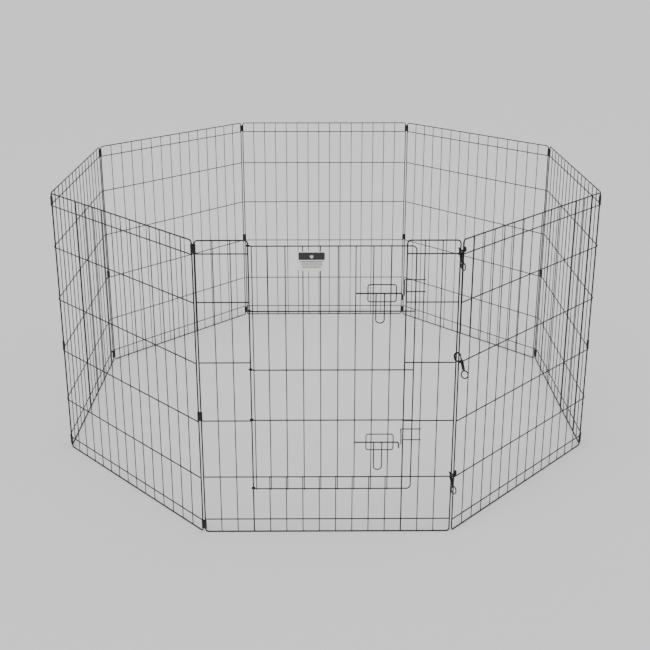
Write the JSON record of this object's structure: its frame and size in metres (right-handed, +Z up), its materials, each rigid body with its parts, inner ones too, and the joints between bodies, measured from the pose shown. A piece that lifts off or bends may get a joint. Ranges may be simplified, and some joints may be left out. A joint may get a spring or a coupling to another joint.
{
  "type": "pet playpen",
  "caption": "Free-standing octagonal wire pet playpen: hinged folding panels, a side-hinged door with slide-bolt latches, and bolt snaps that close the ring.",
  "frame": {"origin": "the middle of the pen's bounding box, on the floor plane", "axes": "+Z up; the door panel is at the front and faces -Y; +X is to the right as seen from the front"},
  "size_m": [1.4918, 1.5192, 0.762],
  "materials": {
    "black_coating": "black semi-gloss electro-coated steel wire",
    "clip_steel": "black coated crimped strip",
    "snap_metal": "black plated die-cast metal",
    "spring_steel": "bright spring wire",
    "tag_card": "printed plastic card"
  },
  "bodies": {
    "door_panel": {"door_panel": "black_coating", "hinge_clip_1_top": "clip_steel", "hinge_clip_1_middle": "clip_steel", "hinge_clip_1_bottom": "clip_steel"},
    "door": {"door": "black_coating", "info_tag": "tag_card"},
    "panel_2": {"panel_2": "black_coating", "hinge_clip_2_top": "clip_steel", "hinge_clip_2_middle": "clip_steel", "hinge_clip_2_bottom": "clip_steel"},
    "panel_3": {"panel_3": "black_coating", "hinge_clip_3_top": "clip_steel", "hinge_clip_3_middle": "clip_steel", "hinge_clip_3_bottom": "clip_steel"},
    "panel_4": {"panel_4": "black_coating", "hinge_clip_4_top": "clip_steel", "hinge_clip_4_middle": "clip_steel", "hinge_clip_4_bottom": "clip_steel"},
    "panel_5": {"panel_5": "black_coating", "hinge_clip_5_top": "clip_steel", "hinge_clip_5_middle": "clip_steel", "hinge_clip_5_bottom": "clip_steel"},
    "panel_6": {"panel_6": "black_coating", "hinge_clip_6_top": "clip_steel", "hinge_clip_6_middle": "clip_steel", "hinge_clip_6_bottom": "clip_steel"},
    "panel_7": {"panel_7": "black_coating", "hinge_clip_7_top": "clip_steel", "hinge_clip_7_middle": "clip_steel", "hinge_clip_7_bottom": "clip_steel"},
    "panel_8": {"panel_8": "black_coating", "snap_top_body": "snap_metal", "snap_top_spring": "spring_steel", "snap_middle_body": "snap_metal", "snap_middle_spring": "spring_steel", "snap_bottom_body": "snap_metal", "snap_bottom_spring": "spring_steel"},
    "latch_bolt_upper": {"latch_bolt_upper": "black_coating"},
    "latch_bolt_lower": {"latch_bolt_lower": "black_coating"},
    "snap_top_plunger": {"snap_top_plunger": "snap_metal"},
    "snap_top_eye": {"snap_top_eye": "snap_metal"},
    "snap_middle_plunger": {"snap_middle_plunger": "snap_metal"},
    "snap_middle_eye": {"snap_middle_eye": "snap_metal"},
    "snap_bottom_plunger": {"snap_bottom_plunger": "snap_metal"},
    "snap_bottom_eye": {"snap_bottom_eye": "snap_metal"}
  },
  "joints": [
    {"name": "panel_2_fold", "type": "hinge", "parent": "door_panel", "child": "panel_2", "pos_m": [-0.30975, -0.72472, 0], "axis": [0, 0, -1], "range_deg": [-42.05, 0]},
    {"name": "panel_3_fold", "type": "hinge", "parent": "panel_2", "child": "panel_3", "pos_m": [-0.74116, -0.28942, 0], "axis": [0, 0, -1], "range_deg": [0, 126]},
    {"name": "panel_4_fold", "type": "hinge", "parent": "panel_3", "child": "panel_4", "pos_m": [-0.7384, 0.32343, 0], "axis": [0, 0, -1], "range_deg": [-42.05, 0]},
    {"name": "panel_8_fold", "type": "hinge", "parent": "door_panel", "child": "panel_8", "pos_m": [0.3031, -0.72747, 0], "axis": [0, 0, 1], "range_deg": [-42.05, 0]},
    {"name": "panel_7_fold", "type": "hinge", "parent": "panel_8", "child": "panel_7", "pos_m": [0.7384, -0.29607, 0], "axis": [0, 0, 1], "range_deg": [-42.05, 0]},
    {"name": "panel_6_fold", "type": "hinge", "parent": "panel_7", "child": "panel_6", "pos_m": [0.74116, 0.31678, 0], "axis": [0, 0, 1], "range_deg": [0, 126.05]},
    {"name": "panel_5_fold", "type": "hinge", "parent": "panel_6", "child": "panel_5", "pos_m": [0.30975, 0.75208, 0], "axis": [0, 0, 1], "range_deg": [-42.05, 0]},
    {"name": "door_swing", "type": "hinge", "parent": "door_panel", "child": "door", "pos_m": [-0.18186, -0.72747, 0], "axis": [0, 0, -1], "range_deg": [0, 135]},
    {"name": "latch_upper_slide", "type": "slide", "parent": "door", "child": "latch_bolt_upper", "axis": [1, 0, 0], "range_m": [-0.008, 0.017]},
    {"name": "latch_lower_slide", "type": "slide", "parent": "door", "child": "latch_bolt_lower", "axis": [1, 0, 0], "range_m": [-0.008, 0.017]},
    {"name": "snap_top_press", "type": "slide", "parent": "panel_8", "child": "snap_top_plunger", "axis": [0.1913, -0.4619, -0.866], "range_m": [0, 0.007], "stiffness_N_per_m": 300, "springref_m": -0.005},
    {"name": "snap_top_swivel", "type": "hinge", "parent": "panel_8", "child": "snap_top_eye", "pos_m": [0.29866, -0.72877, 0.74328], "axis": [0.1913, -0.4619, -0.866], "continuous": true},
    {"name": "snap_middle_press", "type": "slide", "parent": "panel_8", "child": "snap_middle_plunger", "axis": [0.1913, -0.4619, -0.866], "range_m": [0, 0.007], "stiffness_N_per_m": 300, "springref_m": -0.005},
    {"name": "snap_middle_swivel", "type": "hinge", "parent": "panel_8", "child": "snap_middle_eye", "pos_m": [0.31381, -0.7225, 0.47303], "axis": [0.1913, -0.4619, -0.866], "continuous": true},
    {"name": "snap_bottom_press", "type": "slide", "parent": "panel_8", "child": "snap_bottom_plunger", "axis": [0.1913, -0.4619, -0.866], "range_m": [0, 0.007], "stiffness_N_per_m": 300, "springref_m": -0.005},
    {"name": "snap_bottom_swivel", "type": "hinge", "parent": "panel_8", "child": "snap_bottom_eye", "pos_m": [0.29866, -0.72877, 0.16852], "axis": [0.1913, -0.4619, -0.866], "continuous": true}
  ],
  "couplings": [
    {"joint": "panel_2_fold", "follows": "panel_3_fold", "ratio": -0.33333},
    {"joint": "panel_4_fold", "follows": "panel_3_fold", "ratio": -0.33333},
    {"joint": "panel_8_fold", "follows": "panel_3_fold", "ratio": -0.33333},
    {"joint": "panel_7_fold", "follows": "panel_3_fold", "ratio": -0.33333},
    {"joint": "panel_6_fold", "follows": "panel_3_fold", "ratio": 1},
    {"joint": "panel_5_fold", "follows": "panel_3_fold", "ratio": -0.33333}
  ]
}
